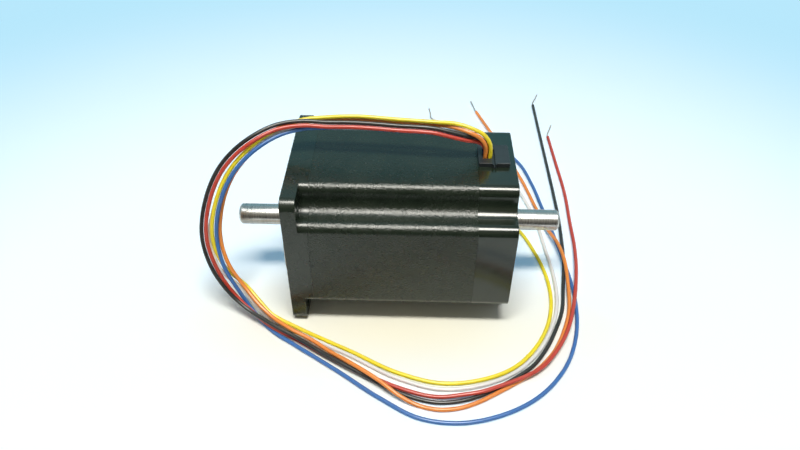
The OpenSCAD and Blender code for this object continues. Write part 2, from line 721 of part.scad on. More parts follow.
// Direction of the smooth curve at point i of a route
function slope(route, i) =
    i == 0 ? unit(route[1] - route[0]) :
    i == len(route) - 1 ? unit(route[i] - route[i - 1]) :
    ((route[i] - route[i - 1]) * chord(route, i) / chord(route, i - 1)
        + (route[i + 1] - route[i]) * chord(route, i - 1) / chord(route, i))
        / (chord(route, i) + chord(route, i - 1));
// Point at share t between points i and i + 1 of a route
function curve_at(route, i, t) =
    (2 * t * t * t - 3 * t * t + 1) * route[i]
        + (t * t * t - 2 * t * t + t) * chord(route, i) * slope(route, i)
        + (3 * t * t - 2 * t * t * t) * route[i + 1]
        + (t * t * t - t * t) * chord(route, i) * slope(route, i + 1);
function ring_count(route, i) = max(1, round(chord(route, i) / lead_ring_step));
// Ring centres along the whole route
function centre_line(route) = [
    for (i = [0 : len(route) - 2]) for (j = [0 : ring_count(route, i) - 1])
        curve_at(route, i, j / ring_count(route, i)),
    route[len(route) - 1]];
function directions(line) = [
    for (i = [0 : len(line) - 1])
        unit(line[min(i + 1, len(line) - 1)] - line[max(i - 1, 0)])];
function square_off(v, dir) = unit(v - (v * dir) * dir);
// Side vector of the first ring, taken from the axis that lies less along the route
function first_side(dir) = square_off(abs(dir[1]) > abs(dir[2]) ? [0, 0, 1] : [0, 1, 0], dir);
// Side vector of each ring, carried along the route without twist
function side_vectors(dirs) = [
    for (i = 0, v = first_side(dirs[0]); i < len(dirs);
        i = i + 1, v = i < len(dirs) ? square_off(v, dirs[i]) : v) v];
function ring_points(line, dirs, sides, r) = [
    for (i = [0 : len(line) - 1]) for (k = [0 : lead_sides - 1])
        line[i] + r * (cos(k * 360 / lead_sides) * sides[i]
            + sin(k * 360 / lead_sides) * cross(dirs[i], sides[i]))];
function tube_faces(rings) = [
    for (i = [0 : rings - 2]) for (k = [0 : lead_sides - 1]) each [
        [i * lead_sides + k, i * lead_sides + (k + 1) % lead_sides, (i + 1) * lead_sides + k],
        [i * lead_sides + (k + 1) % lead_sides, (i + 1) * lead_sides + (k + 1) % lead_sides,
            (i + 1) * lead_sides + k]],
    for (k = [1 : lead_sides - 2]) each [
        [0, k + 1, k],
        [(rings - 1) * lead_sides, (rings - 1) * lead_sides + k, (rings - 1) * lead_sides + k + 1]]];

// One tube swept along a line of ring centres
module tube(line, r) {
    dirs = directions(line);
    polyhedron(ring_points(line, dirs, side_vectors(dirs), r), tube_faces(len(line)));
}

module lead(lanes, points) {
    tube(centre_line(route_of(lanes, points)), lead_d / 2);
}

// Bare strands that go on from the end of a lead and turn aside past their root
module strands(lanes, points, turn) {
    line = centre_line(route_of(lanes, points));
    end = line[len(line) - 1];
    dir = unit(end - line[len(line) - 2]);
    aside = [dir[0] * cos(turn) - dir[1] * sin(turn), dir[0] * sin(turn) + dir[1] * cos(turn), 0];
    root = end + strand_root * dir;
    tube([end, root, root + (strand_len - strand_root) * unit(aside)], strand_d / 2);
}

module lead_yellow() {
    color([0.98, 0.84, 0.10]) lead(yellow_lane, yellow_points);
}

module lead_white() {
    color([0.95, 0.95, 0.93]) lead(white_lane, white_points);
}

module lead_orange() {
    color([0.95, 0.55, 0.15]) lead(orange_lane, orange_points);
}

module lead_black() {
    color([0.10, 0.11, 0.10]) lead(black_lane, black_points);
}

module lead_red() {
    color([0.75, 0.18, 0.13]) lead(red_lane, red_points);
}

module lead_blue() {
    color([0.16, 0.33, 0.66]) lead(blue_lane, blue_points);
}

module strands_yellow() {
    color([0.80, 0.55, 0.35]) strands(yellow_lane, yellow_points, yellow_turn);
}

module strands_white() {
    color([0.80, 0.55, 0.35]) strands(white_lane, white_points, white_turn);
}

module strands_orange() {
    color([0.80, 0.55, 0.35]) strands(orange_lane, orange_points, orange_turn);
}

module strands_black() {
    color([0.80, 0.55, 0.35]) strands(black_lane, black_points, black_turn);
}

module strands_red() {
    color([0.80, 0.55, 0.35]) strands(red_lane, red_points, red_turn);
}

module strands_blue() {
    color([0.80, 0.55, 0.35]) strands(blue_lane, blue_points, blue_turn);
}

front_end_bell();
rear_end_bell();
stator_stack();
front_insulator();
rear_insulator();
phase_a_coils();
phase_b_coils();
lead_grommet();
tie_screws();
tie_washers();
shaft();
north_rotor_cups();
south_rotor_cups();
rotor_magnets();
rotor_spacers();
front_bearing_outer_race();
front_bearing_inner_race();
front_bearing_balls();
front_bearing_cage();
front_bearing_shields();
rear_bearing_outer_race();
rear_bearing_inner_race();
rear_bearing_balls();
rear_bearing_cage();
rear_bearing_shields();
wave_washer();
lead_yellow();
lead_white();
lead_orange();
lead_black();
lead_red();
lead_blue();
strands_yellow();
strands_white();
strands_orange();
strands_black();
strands_red();
strands_blue();
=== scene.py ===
"""Looks of a square stepper motor with a double-ended shaft and six free leads.

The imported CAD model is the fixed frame. Lengths are written in millimetres and turned into metres
by MM, and places are those of the model: shaft along X, mounting face at x = 0, leads upwards.
"""

import math
import random

import bmesh
import bpy
from mathutils import Matrix, Vector


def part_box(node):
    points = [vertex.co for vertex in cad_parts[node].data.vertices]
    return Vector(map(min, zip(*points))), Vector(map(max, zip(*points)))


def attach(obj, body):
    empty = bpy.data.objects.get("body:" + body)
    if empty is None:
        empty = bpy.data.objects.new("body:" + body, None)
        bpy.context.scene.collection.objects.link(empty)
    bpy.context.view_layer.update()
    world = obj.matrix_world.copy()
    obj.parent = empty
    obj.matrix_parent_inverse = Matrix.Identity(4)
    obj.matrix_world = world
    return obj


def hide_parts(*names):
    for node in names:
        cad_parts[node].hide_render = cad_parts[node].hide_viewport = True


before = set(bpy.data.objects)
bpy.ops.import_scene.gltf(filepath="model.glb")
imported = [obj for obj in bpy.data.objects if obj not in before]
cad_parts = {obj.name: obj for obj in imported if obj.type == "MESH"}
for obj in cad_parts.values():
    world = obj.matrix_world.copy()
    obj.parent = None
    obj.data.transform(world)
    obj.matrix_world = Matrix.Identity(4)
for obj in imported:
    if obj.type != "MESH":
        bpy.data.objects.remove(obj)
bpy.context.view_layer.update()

MM = 0.001
CASE = "motor_body"
SCENE = bpy.context.scene
SCENE.view_settings.view_transform = "Standard"

# Camera of the photograph: place in mm, turn and tilts in degrees, lens for a 36 mm sensor, and the
# nearest and farthest that it sees in metres
CAMERA_AT = (65.2, -303.6, 257.3)
CAMERA_YAW, CAMERA_DOWN, CAMERA_ROLL = -1.02, 40.97, 0.6
CAMERA_LENS = 30.88
SENSOR_W = 36
CAMERA_REACH = (0.01, 20)


def add_camera():
    """Camera at the photograph's viewing angle."""
    yaw, down, roll = (math.radians(a) for a in (CAMERA_YAW, CAMERA_DOWN, CAMERA_ROLL))
    ahead = Vector((
        math.sin(yaw) * math.cos(down), math.cos(yaw) * math.cos(down), -math.sin(down)))
    level = Vector((math.cos(yaw), -math.sin(yaw), 0))
    above = level.cross(ahead)
    right = math.cos(roll) * level + math.sin(roll) * above
    up = right.cross(ahead)
    data = bpy.data.cameras.new("camera")
    data.sensor_width = SENSOR_W
    data.lens = CAMERA_LENS
    data.clip_start, data.clip_end = CAMERA_REACH
    camera = bpy.data.objects.new("camera", data)
    SCENE.collection.objects.link(camera)
    turn = Matrix((right, up, -ahead)).transposed().to_4x4()
    camera.matrix_world = Matrix.Translation(Vector(CAMERA_AT) * MM) @ turn
    SCENE.camera = camera


add_camera()

# Middle of the bundle of leads from the grommet to the table: the point in mm, and the turn of the
# way round the bend and the tilt of its plane in degrees
BUNDLE = [
    (106.2, 0, 44, 0, 0), (106.2, 0, 48, 0, 0), (105, 0, 52.2, 30, 0), (101.6, 0, 56, 58, 5),
    (96, 0, 58.2, 73, 12), (88, 0.5, 59.5, 82, 25), (78, 1, 60.5, 86, 38), (59, 2, 61, 88, 41),
    (34, 3.5, 61.5, 91, 41), (20, 3.5, 61, 94, 41), (8, 3, 60.5, 98, 41), (-4, 0, 58.5, 105, 41),
    (-18, -7, 53, 119, 41), (-31.5, -13, 40.5, 137, 41), (-40.5, -21, 22.5, 162, 41),
    (-43.5, -27, 3.5, 182, 41), (-40, -31.5, -12, 207, 41), (-29.5, -36, -29.5, 230, 41)]
# Each lead's place in the bundle in mm, outwards and away from the near side, at every point of it
LANES = {
    "yellow": [
        (1.3, -2.5), (1.3, -2.5), (2.1, -2.6), (3, -2.3), (3.4, -1.8), (3.7, -1), (3, 0), (3, 0),
        (3, 0), (2.6, 0), (1.8, 0), (0.6, 0), (-0.4, 0), (-1, 0), (-1, 0), (-1, 0.4), (-1.3, 2.2),
        (-4.4, 3.2)],
    "white": [
        (1.3, 2.5), (1.3, 2.5), (0.5, 2.6), (-0.6, 2.1), (-1.3, 1.8), (-1.2, 2.2), (-0.5, 2.4),
        (-0.5, 2.4), (-0.5, 2.4), (-0.5, 2.4), (-0.5, 2.4), (-0.4, 2.4), (-0.3, 2.4), (-0.2, 2.4),
        (-0.2, 2.4), (1.1, 2.2), (1.4, 1.4), (-1.4, 3)],
    "orange": [
        (-1.3, -2.5), (-1.3, -2.5), (-0.5, -2.7), (0.4, -2.7), (1.1, -2.4), (1.4, 0), (1.9, 2.4),
        (1.9, 2.4), (1.9, 2.4), (1.7, 3.2), (1, 4.6), (-0.4, 4.8), (-1.8, 4.6), (-3, 3.8),
        (-4.2, 3), (-4.9, 2.2), (-4.6, 0.6), (-4, -0.4)],
    "black": [
        (1.3, 0), (1.3, 0), (0.5, -0.1), (-0.6, -0.3), (-1.3, -1.2), (-1.1, -1.9), (-0.6, -2.4),
        (-0.6, -2.4), (-0.6, -2.4), (-0.3, -2.4), (0.8, -2.4), (2.2, -2.4), (3.2, -2.4), (4, -2.4),
        (4, -2.4), (4, -2.4), (4, -2.4), (4, -2.4)],
    "red": [
        (-1.3, 0), (-1.3, 0), (-2, 0.1), (-3.1, -0.4), (-3.7, -1.2), (-3.5, -1.9), (-3, -2.4),
        (-3, -2.4), (-3, -2.4), (-2.7, -2.4), (-1.6, -2.4), (-0.2, -2.4), (0.8, -2.4), (1.6, -2.4),
        (1.6, -2.4), (1.6, -2.2), (2, -1.1), (3.2, 0.2)],
    "blue": [
        (-1.3, 2.5), (-1.3, 2.5), (-2, 2.7), (-3, 2.1), (-3.7, 1.4), (-3.3, 0.7), (-2.8, 0),
        (-2.8, 0), (-2.8, 0), (-2.8, 0), (-3, 0), (-3, 0), (-3.2, 0), (-3.4, 0), (-3.4, 0),
        (-3.4, 0), (-2.2, -0.8), (0.6, 1)]}
# Points of each lead along the table, in mm, from the bundle to its stripped end
TABLE = {
    "yellow": [
        (-19.5, -37, -34.3), (-13, -42, -38.5), (2, -49.3, -41.4), (20, -58.3, -41.8),
        (34, -65.3, -41.8), (62, -79.7, -41.8), (83, -85.2, -41.8), (104, -82.8, -41.8),
        (123, -74.2, -41.8), (137.5, -58.6, -41.8), (144.8, -45, -41.8), (149, -31, -41.8),
        (150.3, -10, -41.8), (148.5, 4, -41.8), (145, 18, -41.8), (138, 37, -41.8),
        (124, 55, -41.8), (104, 68, -41.8), (76, 77, -41.8), (44, 79, -41.8), (14, 72, -41.8)],
    "white": [
        (-21.5, -39, -35.8), (-12.5, -45.5, -39.3), (2, -52.3, -41.6), (20, -61.3, -41.8),
        (34, -68.3, -41.8), (62, -83.3, -41.8), (83, -89, -41.8), (104, -86.3, -41.8),
        (123, -77.4, -41.8), (139.8, -60, -41.8), (147.1, -46, -41.8), (152, -32, -41.8),
        (154.5, -10, -41.8), (154, 4, -41.8), (152.7, 18, -41.8), (150, 46, -41.8),
        (142, 80, -41.8), (130, 110, -41.8), (113, 141, -40.6), (104, 151, -39.2), (94, 161, -40.6),
        (83, 172, -41.8)],
    "orange": [
        (-19.5, -41, -31.8), (-12, -46.5, -35.5), (2, -55.7, -37), (13, -61, -38.6),
        (24, -68.4, -39.2), (35.4, -77, -37), (51.8, -88.4, -37), (62.4, -95.6, -39.4),
        (71, -99, -41.8), (82, -101.5, -41.8), (92, -100.5, -41.8), (103, -96.3, -41.8),
        (112, -91, -41.8), (123, -84, -41.8), (136, -74.5, -41.8), (146, -63, -41.8),
        (154.3, -47, -41.8), (159, -33.5, -41.8), (161.5, -12, -39.2), (161.7, 6, -36.8),
        (160, 20, -36.7), (156, 37, -39.5), (151.5, 62, -41.5), (146, 90, -41.6), (142, 105, -41.2),
        (138, 119, -39.8), (133.5, 134, -39.1), (129, 149, -40.6), (118, 185, -41.8)],
    "black": [
        (-24, -44, -34.8), (-16.5, -48.5, -36), (-8.5, -53, -37), (2, -58.2, -38.4),
        (18, -68, -39.3), (33, -77, -39.4), (46, -84, -40.5), (60, -91.2, -41.6),
        (83, -97.3, -41.8), (102, -93.3, -41.8), (112, -88, -41.8), (123, -81, -41.8),
        (134.5, -71.5, -41.8), (141.9, -61.4, -41.8), (149.4, -47, -41.8), (155, -33, -41.8),
        (159, -12, -41.5), (161.3, 3, -39.5), (162.7, 16, -39.2), (164.3, 32, -40.8),
        (165.5, 50, -41.6), (166, 80, -41.8), (166, 110, -41.8), (166, 155, -41.8),
        (166, 197, -41.8)],
    "red": [
        (-24, -42, -36.8), (-17, -47.2, -38.6), (-9, -52.6, -39.5), (2, -57.6, -41.3),
        (20, -67.6, -41.8), (35, -75, -41.8), (51, -84.2, -41.8), (62, -89, -41.8),
        (83, -94, -41.6), (95, -93.2, -40.2), (103.6, -92, -39.3), (114, -88, -39.3),
        (125, -83, -39.3), (136, -76.5, -39.3), (149, -61, -39.3), (155.5, -49, -39.3),
        (161, -33.5, -39.3), (166.5, -11, -39.3), (169.3, 5, -39.5), (171.5, 24, -40.8),
        (172.5, 45, -41.6), (174, 80, -41.8), (173, 115, -41.8), (172, 150, -41.8)],
    "blue": [
        (-24.5, -39, -38.2), (-18, -45.5, -41.3), (-9.3, -53.5, -41.8), (2, -61.2, -41.8),
        (16, -70.5, -41.8), (30, -80, -41.8), (52, -95.5, -41.8), (73, -107, -41.8),
        (93, -109, -41.8), (113, -104.3, -41.8), (135, -91.7, -41.8), (151, -73, -41.8),
        (161.5, -46.5, -41.8), (163.9, -31, -41.8), (164.2, -8, -41.8), (163.2, 5, -41.8),
        (161.7, 18, -41.8), (159.6, 36, -41.8), (156, 62, -41.8), (152, 89, -41.8),
        (145, 115, -41.8), (128, 138, -41.8), (103, 153, -41.8)]}
# The turn of each lead's bare strands past their root in degrees
STRAND_TURNS = {"yellow": 15, "white": -37, "orange": -6, "black": -20, "red": -20, "blue": 20}
# Leads, in mm: width, step along the route, rounding of the cut end, bore that the strands leave
LEAD_D = 2.2
LEAD_STEP = 1.6
LEAD_SIDES = 16
END_LIP = 0.12 * LEAD_D
STRIP_BORE = 1.3
STRIP_DEPTH = 1.5
# Strands, in mm: length, the bit that goes on straight, and the bit inside the lead
STRAND_LEN = 18
STRAND_ROOT = 2
STRAND_DEPTH = 0.9 * STRIP_DEPTH
# Wires of the strands, in mm: width, distance from the middle one, length of one twist, step
WIRE_D = 0.28
WIRE_REACH = 1.01 * WIRE_D
WIRE_PITCH = 11
WIRE_STEP = 0.6
WIRE_SIDES = 6
WIRES_ROUND = 6
# Open tips: share of the length where they begin, how fast they open, and the random ranges of how
# much they open and of how many steps are cut off
SPLAY_FROM = 0.75
SPLAY_GROWTH = 2
SPLAY = (0.1, 0.9)
CUT_STEPS = 3


def bundled(station, lane):
    """Point of a lane at one station of the bundle."""
    x, y, z, turn, tilt = station
    out, away = lane
    turn, tilt = math.radians(turn), math.radians(tilt)
    return Vector((
        x + out * math.cos(turn),
        y + out * math.sin(turn) * math.sin(tilt) + away * math.cos(tilt),
        z + out * math.sin(turn) * math.cos(tilt) - away * math.sin(tilt)))


def slope(route, i):
    """Direction of the smooth curve at point i of a route."""
    if i == 0:
        return (route[1] - route[0]).normalized()
    if i == len(route) - 1:
        return (route[i] - route[i - 1]).normalized()
    before, after = route[i] - route[i - 1], route[i + 1] - route[i]
    near, far = before.length, after.length
    return (before * far / near + after * near / far) / (near + far)


def smooth_line(route, step):
    """Points a step apart on the smooth curve through a route."""
    line = []
    for i in range(len(route) - 1):
        span = (route[i + 1] - route[i]).length
        count = max(1, round(span / step))
        leave, arrive = slope(route, i) * span, slope(route, i + 1) * span
        for j in range(count):
            t = j / count
            line.append(
                (2 * t**3 - 3 * t**2 + 1) * route[i] + (t**3 - 2 * t**2 + t) * leave
                + (3 * t**2 - 2 * t**3) * route[i + 1] + (t**3 - t**2) * arrive)
    line.append(route[-1])
    return line


def directions(line):
    """Direction of a line at each of its points."""
    last = len(line) - 1
    return [
        (line[min(i + 1, last)] - line[max(i - 1, 0)]).normalized() for i in range(last + 1)]


def add_rings(bm, centres, ways, radii, sides):
    """Sweeps a closed tube through rings of given centres, directions and radii, without twist."""
    side = Vector((0, 1, 0)) if abs(ways[0].z) > abs(ways[0].y) else Vector((0, 0, 1))
    turns = [2 * math.pi * k / sides for k in range(sides)]
    rings = []
    for centre, way, radius in zip(centres, ways, radii):
        side = (side - side.dot(way) * way).normalized()
        other = way.cross(side)
        spokes = [math.cos(a) * side + math.sin(a) * other for a in turns]
        rings.append([bm.verts.new((centre + radius * spoke) * MM) for spoke in spokes])
    for low, high in zip(rings, rings[1:]):
        for k in range(sides):
            bm.faces.new((low[k], low[(k + 1) % sides], high[(k + 1) % sides], high[k]))
    bm.faces.new(list(reversed(rings[0])))
    bm.faces.new(rings[-1])


def add_piece(name, bm, material, body=CASE, crease=35):
    """Makes a shown piece from a bmesh, smooth up to a crease angle, with flat faces kept flat."""
    data = bpy.data.meshes.new(name)
    bmesh.ops.recalc_face_normals(bm, faces=bm.faces)
    bm.to_mesh(data)
    bm.free()
    data.shade_smooth()
    data.set_sharp_from_angle(angle=math.radians(crease))
    data.materials.append(material)
    piece = bpy.data.objects.new(name, data)
    SCENE.collection.objects.link(piece)
    even = piece.modifiers.new("even_normals", "WEIGHTED_NORMAL")
    even.weight = 50
    even.keep_sharp = True
    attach(piece, body)
    return piece


def node(tree, kind, settings=(), inputs=()):
    """Adds a shader node, with its settings and its inputs, each a value or a node's output."""
    made = tree.nodes.new(kind)
    for key, value in dict(settings).items():
        setattr(made, key, value)
    for key, value in dict(inputs).items():
        if isinstance(value, bpy.types.NodeSocket):
            tree.links.new(value, made.inputs[key])
        else:
            made.inputs[key].default_value = value
    return made


def calc(tree, operation, *values):
    """Output of a Math node."""
    made = node(tree, "ShaderNodeMath", {"operation": operation}, dict(enumerate(values)))
    return made.outputs[0]


def vector_calc(tree, operation, first, second):
    """Outputs of a Vector Math node."""
    made = node(tree, "ShaderNodeVectorMath", {"operation": operation}, {0: first, 1: second})
    return made.outputs


def ranged(tree, value, low, high, to_low=0, to_high=1):
    """Output of a smooth Map Range node."""
    made = node(
        tree, "ShaderNodeMapRange", {"interpolation_type": "SMOOTHSTEP"},
        {"Value": value, "From Min": low, "From Max": high, "To Min": to_low, "To Max": to_high})
    return made.outputs[0]


def blend_colours(tree, share, first, second):
    """Colour between two, by a share."""
    made = node(tree, "ShaderNodeMix", {"data_type": "RGBA"}, {0: share})
    for socket, value in ((made.inputs[6], first), (made.inputs[7], second)):
        if isinstance(value, bpy.types.NodeSocket):
            tree.links.new(value, socket)
        else:
            socket.default_value = (*value, 1)
    return made.outputs[2]


def blend_shaders(tree, share, first, second):
    """Output of a Mix Shader node."""
    return node(tree, "ShaderNodeMixShader", {}, {0: share, 1: first, 2: second}).outputs[0]


def own_place(tree):
    """The place in the object's own frame."""
    return node(tree, "ShaderNodeTexCoord").outputs["Object"]


def split_axes(tree, vector):
    """The X, Y and Z outputs of a vector."""
    return node(tree, "ShaderNodeSeparateXYZ", {}, {0: vector}).outputs


def axis_distance(tree, axes):
    """Distance from the shaft axis, from the outputs of split_axes."""
    squares = [calc(tree, "MULTIPLY", axes[i], axes[i]) for i in (1, 2)]
    return calc(tree, "SQRT", calc(tree, "ADD", *squares))


def waves(tree, value, pitch):
    """Sine waves along a value, a pitch apart."""
    return calc(tree, "SINE", calc(tree, "MULTIPLY", value, 2 * math.pi / pitch))


def ray(tree, kind):
    """1 for rays of a kind, 0 for all others."""
    return node(tree, "ShaderNodeLightPath").outputs[f"Is {kind} Ray"]


def speckle(tree, size_mm, stretch=(1, 1, 1), detail=3, rough=0.5):
    """Noise of a given grain size in mm, stretched by a factor along each axis."""
    made = node(
        tree, "ShaderNodeTexNoise", {}, {
            "Vector": vector_calc(tree, "DIVIDE", own_place(tree), stretch)[0],
            "Scale": 1 / (size_mm * MM), "Detail": detail, "Roughness": rough})
    return made.outputs[0]


# The middle part of a noise's range, which holds nearly all of its values
NOISE_SPAN = (0.3, 0.7)


def patchy(tree, noise, low=0, high=1):
    """A noise made to run between two values."""
    return ranged(tree, noise, *NOISE_SPAN, low, high)


def new_material(name, **fixed):
    """A node material and its shader, with values that are the same all over set on the shader."""
    material = bpy.data.materials.new(name)
    material.use_nodes = True
    tree = material.node_tree
    shader = tree.nodes["Principled BSDF"]
    for key, value in fixed.items():
        shader.inputs[key.replace("_", " ")].default_value = value
    return material, tree, shader


def finish_surface(tree, shader, colour, rough, height=None, depth_mm=0.02):
    """Links colour, roughness and a bump of a given depth to a shader."""
    for key, value in (("Base Color", colour), ("Roughness", rough)):
        tree.links.new(value, shader.inputs[key])
    if height is not None:
        bump = node(tree, "ShaderNodeBump", {}, {"Height": height, "Distance": depth_mm * MM})
        tree.links.new(bump.outputs[0], shader.inputs["Normal"])


def finish_material(tree, surface):
    """Links a shader's output to the material's surface."""
    tree.links.new(surface, tree.nodes["Material Output"].inputs["Surface"])


def simple_surface(name, dark, pale, rough, grain_mm, depth_mm, patch_mm=9, **fixed):
    """A surface with patchy colour, uneven gloss and a fine grain in relief."""
    material, tree, shader = new_material(name, **fixed)
    colour = blend_colours(tree, patchy(tree, speckle(tree, patch_mm)), dark, pale)
    gloss = patchy(tree, speckle(tree, patch_mm / 3, detail=5), *rough)
    finish_surface(tree, shader, colour, gloss, speckle(tree, grain_mm), depth_mm)
    return material


INSULATION = {
    "yellow": (0.97, 0.80, 0.02), "white": (0.88, 0.88, 0.86), "orange": (0.92, 0.29, 0.045),
    "black": (0.018, 0.02, 0.018), "red": (0.60, 0.055, 0.03), "blue": (0.045, 0.17, 0.48)}
# Rubbed places keep this share of the colour and get this much grey
WORN_SHARE, WORN_GREY = 0.9, 0.015


def insulation(colour_name):
    """Satin lead insulation: a little waviness, rubbed places and a faint drawn grain."""
    base = INSULATION[colour_name]
    worn = tuple(min(1, c * WORN_SHARE + WORN_GREY) for c in base)
    return simple_surface(
        "insulation_" + colour_name, worn, base, (0.3, 0.42), 1.6, 0.03, patch_mm=14,
        Specular_IOR_Level=0.5, Coat_Weight=0.12, Coat_Roughness=0.25)


def add_insulation(colour_name, line, ways):
    """The insulation of a lead, with a rounded cut end and the bore that its strands leave."""
    radius = LEAD_D / 2
    end, last = line[-1], ways[-1]
    centres = line[:-1] + [end - END_LIP * last, end, end, end - STRIP_DEPTH * last]
    radii = [radius] * len(line) + [radius - END_LIP, STRIP_BORE / 2, STRIP_BORE / 2]
    bm = bmesh.new()
    add_rings(bm, centres, ways[:-1] + [last] * 4, radii, LEAD_SIDES)
    lead = add_piece(
        colour_name + "_lead", bm, insulation(colour_name))
    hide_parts("lead_" + colour_name)
    return lead


def add_strands(colour_name, end, last, material):
    """Twisted wires out of the end of a lead, which turn aside and open at their tips."""
    turn = Matrix.Rotation(math.radians(STRAND_TURNS[colour_name]), 3, "Z")
    root = end + STRAND_ROOT * last
    aside = turn @ Vector((last.x, last.y, 0)).normalized()
    tip = root + (STRAND_LEN - STRAND_ROOT) * aside
    core = smooth_line([end - STRAND_DEPTH * last, end, root, (root + tip) / 2, tip], WIRE_STEP)
    core_ways = directions(core)
    draw = random.Random(colour_name)
    bm = bmesh.new()
    for k in range(WIRES_ROUND + 1):
        reach = 0 if k == WIRES_ROUND else WIRE_REACH
        splay = draw.uniform(*SPLAY)
        keep = len(core) - draw.randrange(CUT_STEPS)
        side = Vector((0, 0, 1))
        wire = []
        for i in range(keep):
            side = (side - side.dot(core_ways[i]) * core_ways[i]).normalized()
            angle = 2 * math.pi * (k / WIRES_ROUND + i * WIRE_STEP / WIRE_PITCH)
            off = math.cos(angle) * side + math.sin(angle) * core_ways[i].cross(side)
            opening = 1 + splay * max(0, i / len(core) - SPLAY_FROM) * SPLAY_GROWTH
            wire.append(core[i] + reach * opening * off)
        add_rings(bm, wire, directions(wire), [WIRE_D / 2] * keep, WIRE_SIDES)
    strands = add_piece(colour_name + "_strands", bm, material, crease=75)
    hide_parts("strands_" + colour_name)
    return strands


def add_lead(colour_name, strands_material):
    """One lead as a fixed length of insulated wire, with its bare twisted strands."""
    stations = [bundled(station, lane) for station, lane in zip(BUNDLE, LANES[colour_name])]
    line = smooth_line(stations + [Vector(point) for point in TABLE[colour_name]], LEAD_STEP)
    ways = directions(line)
    lead = add_insulation(colour_name, line, ways)
    strands = add_strands(colour_name, line[-1], ways[-1], strands_material)


# Drawn copper wire, dulled unevenly
COPPER = simple_surface(
    "bare_strands", (0.56, 0.44, 0.36), (0.80, 0.69, 0.60), (0.28, 0.45), 0.3, 0.004, patch_mm=2,
    Metallic=1)
for colour_name in LANES:
    add_lead(colour_name, COPPER)

# Sizes of the case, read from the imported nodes, in metres
BODY_LOW, BODY_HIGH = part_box("stator_stack")
HALF_W = BODY_HIGH.z
JOINTS = (BODY_LOW.x, BODY_HIGH.x)
REAR_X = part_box("rear_end_bell")[1].x
NOTCH_LEG = 14.7 * MM
# Roundings of the case in the nodes and as they are shown, in metres
EDGE_R, EDGE_WIDE = 3.2 * MM, 4.9 * MM
ROOT_R, ROOT_WIDE = 4.5 * MM, 7 * MM
# How near a point has to be to a flat side, a notch, an arc or an end face to be taken as on it,
# and how far past an arc's end it may be
FLAT_SLACK = 0.4 * MM
NOTCH_SLACK = 0.05 * MM
ARC_SLACK = 0.35 * MM
END_SLACK = 0.1 * MM
ARC_END_SLACK = 0.02 * MM
# Half the width of the relief at a joint of the case, with room beside it
JOINT_HALF = 0.35 * MM
# Upper outline of the grommet's pad: how far it may lie from the pad's box
PAD_RIM = 0.9 * MM
PAD_SLACK = 0.01 * MM
# Points of a copied node that are closer than this, in metres, become one, and so do faces whose
# angle, in degrees, is smaller than this
WELD = 0.001 * MM
FLAT_ANGLE = 0.4


def on_skin(place):
    """Whether a point is on the outer skin of the square body, with its notches."""
    low, high = sorted((abs(place.y), abs(place.z)))
    return high > HALF_W - FLAT_SLACK or low > HALF_W - NOTCH_LEG - NOTCH_SLACK


def clear_of_joints(place):
    """Whether a point is away from the thin relief at the two joints of the case."""
    return all(abs(place.x - x) > JOINT_HALF for x in JOINTS)


def on_front_bell(place):
    """Whether a point is on the outside of the front bell."""
    return (on_skin(place) or place.x < END_SLACK) and clear_of_joints(place)


def on_rear_bell(place):
    """Whether a point is on the outside of the rear bell."""
    return (on_skin(place) or place.x > REAR_X - END_SLACK) and clear_of_joints(place)


def on_pad_outline(place):
    """Whether a point is on the upper outline of the pad, away from its rib, slot and slit."""
    low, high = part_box("lead_grommet")
    inside = low.x + PAD_RIM < place.x < high.x - PAD_RIM and abs(place.y) < high.y - PAD_RIM
    return place.z > high.z - END_SLACK and not inside and place.y > -high.y - PAD_SLACK


def anywhere(place):
    """Chooses all points."""
    return True


def wider_rounding(place):
    """Place of a point of the case once the edges at its notches and their roots are rounder."""
    inner = HALF_W - NOTCH_LEG
    flat, depth = HALF_W - EDGE_R, inner - EDGE_R
    wide_flat, wide_depth = HALF_W - EDGE_WIDE, inner - EDGE_WIDE
    root, wide_root = inner + ROOT_R, inner + ROOT_WIDE
    for middle, wide_middle, radius, wide, way in (
            ((flat, depth), (wide_flat, wide_depth), EDGE_R, EDGE_WIDE, 1),
            ((depth, flat), (wide_depth, wide_flat), EDGE_R, EDGE_WIDE, 1),
            ((root, root), (wide_root, wide_root), ROOT_R, ROOT_WIDE, -1)):
        off = Vector((abs(place.y), abs(place.z))) - Vector(middle)
        near = abs(off.length - radius) < ARC_SLACK
        if near and min(way * off.x, way * off.y) > -ARC_END_SLACK:
            moved = Vector(wide_middle) + off.normalized() * (off.length + wide - radius)
            return Vector((
                place.x, math.copysign(moved.x, place.y), math.copysign(moved.y, place.z)))
    return place


def rounded_copy(
        cad_node, name, material, radius_mm, chosen, body=CASE, sharp=40, segments=3,
        move=None):
    """A copy of a CAD node that stands for it, with its chosen outer edges rounded."""
    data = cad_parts[cad_node].data.copy()
    if "custom_normal" in data.attributes:
        data.attributes.remove(data.attributes["custom_normal"])
    bm = bmesh.new()
    bm.from_mesh(data)
    bpy.data.meshes.remove(data)
    bmesh.ops.remove_doubles(bm, verts=bm.verts, dist=WELD)
    bmesh.ops.dissolve_limit(
        bm, angle_limit=math.radians(FLAT_ANGLE), verts=bm.verts, edges=bm.edges)
    if move:
        for vertex in bm.verts:
            vertex.co = move(vertex.co)
    limit = math.radians(sharp)
    edges = [
        e for e in bm.edges
        if len(e.link_faces) == 2 and e.calc_face_angle_signed() > limit
        and all(chosen(v.co) for v in e.verts)]
    bmesh.ops.bevel(
        bm, geom=edges, offset=radius_mm * MM, offset_type="OFFSET", segments=segments,
        profile=0.5, affect="EDGES", clamp_overlap=False)
    piece = add_piece(name, bm, material, body)
    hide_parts(cad_node)
    return piece


